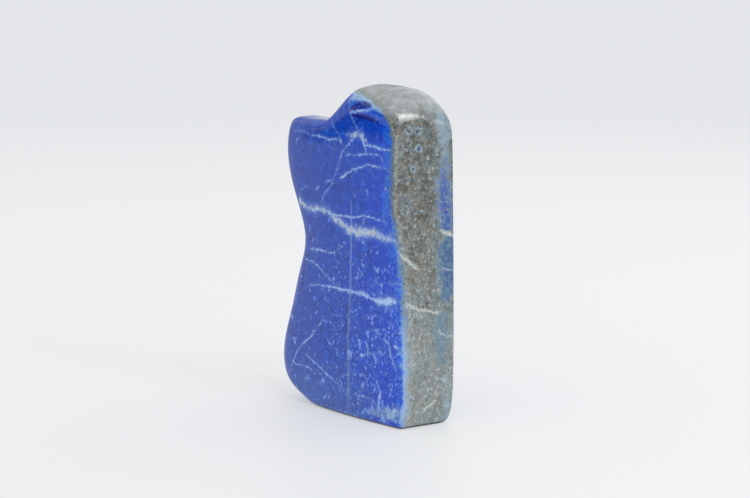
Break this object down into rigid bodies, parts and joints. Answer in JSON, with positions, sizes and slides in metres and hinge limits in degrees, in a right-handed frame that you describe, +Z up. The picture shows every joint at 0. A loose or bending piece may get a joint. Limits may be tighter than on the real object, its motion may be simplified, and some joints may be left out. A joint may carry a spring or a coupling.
{
  "type": "polished lapis lazuli freeform",
  "caption": "Tall slab of polished lapis lazuli with a waisted left side and a rounded crown, standing upright on its sawn flat base.",
  "frame": {"origin": "middle of the bounding box's underside, on the plane of the sawn base", "axes": "+Z up along the stone's height, -Y out of the broad blue front face, +X out of the narrow grey right side"},
  "size_m": [0.0603, 0.023, 0.1],
  "materials": {
    "lapis": "polished deep blue lapis with white calcite veins and a grey-brown matrix side"
  },
  "bodies": {
    "root": {"stone": "lapis"}
  },
  "joints": []
}
